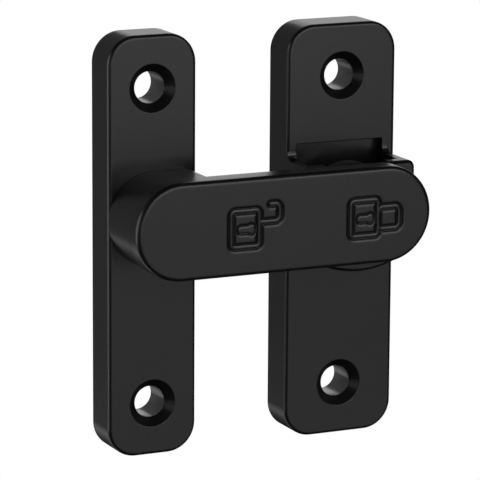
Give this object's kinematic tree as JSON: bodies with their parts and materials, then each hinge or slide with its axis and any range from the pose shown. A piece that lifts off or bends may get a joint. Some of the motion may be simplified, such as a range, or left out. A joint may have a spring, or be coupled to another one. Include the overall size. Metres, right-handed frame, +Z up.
{
  "type": "barn door flip latch",
  "caption": "Flip latch for a sliding door: a lever on one wall plate swings over and drops its round head into a slotted cup on the other plate.",
  "frame": {"origin": "centre of the pivot plate's screw hole pattern, on its flat back", "axes": "+X from the pivot plate to the strike plate, +Y into the wall, +Z up"},
  "size_m": [0.0605, 0.022, 0.08],
  "materials": {
    "black_coat": "semi-gloss black powder coat on a zinc casting",
    "plated_steel": "bright zinc plating",
    "spring_steel": "dark oiled spring steel",
    "nylon": "black nylon"
  },
  "bodies": {
    "plates": {"pivot_plate": "black_coat", "strike_plate": "black_coat", "disc_spring": "spring_steel"},
    "lever": {"latch_lever": "black_coat", "pivot_screw": "plated_steel", "pivot_washer": "plated_steel", "thrust_washer": "nylon", "catch_head": "black_coat", "catch_screw": "plated_steel"}
  },
  "joints": [
    {"name": "latch_swing", "type": "hinge", "parent": "plates", "child": "lever", "pos_m": [0, -0.0127, 0.0055], "axis": [0, -1, 0], "range_deg": [0, 180]}
  ]
}
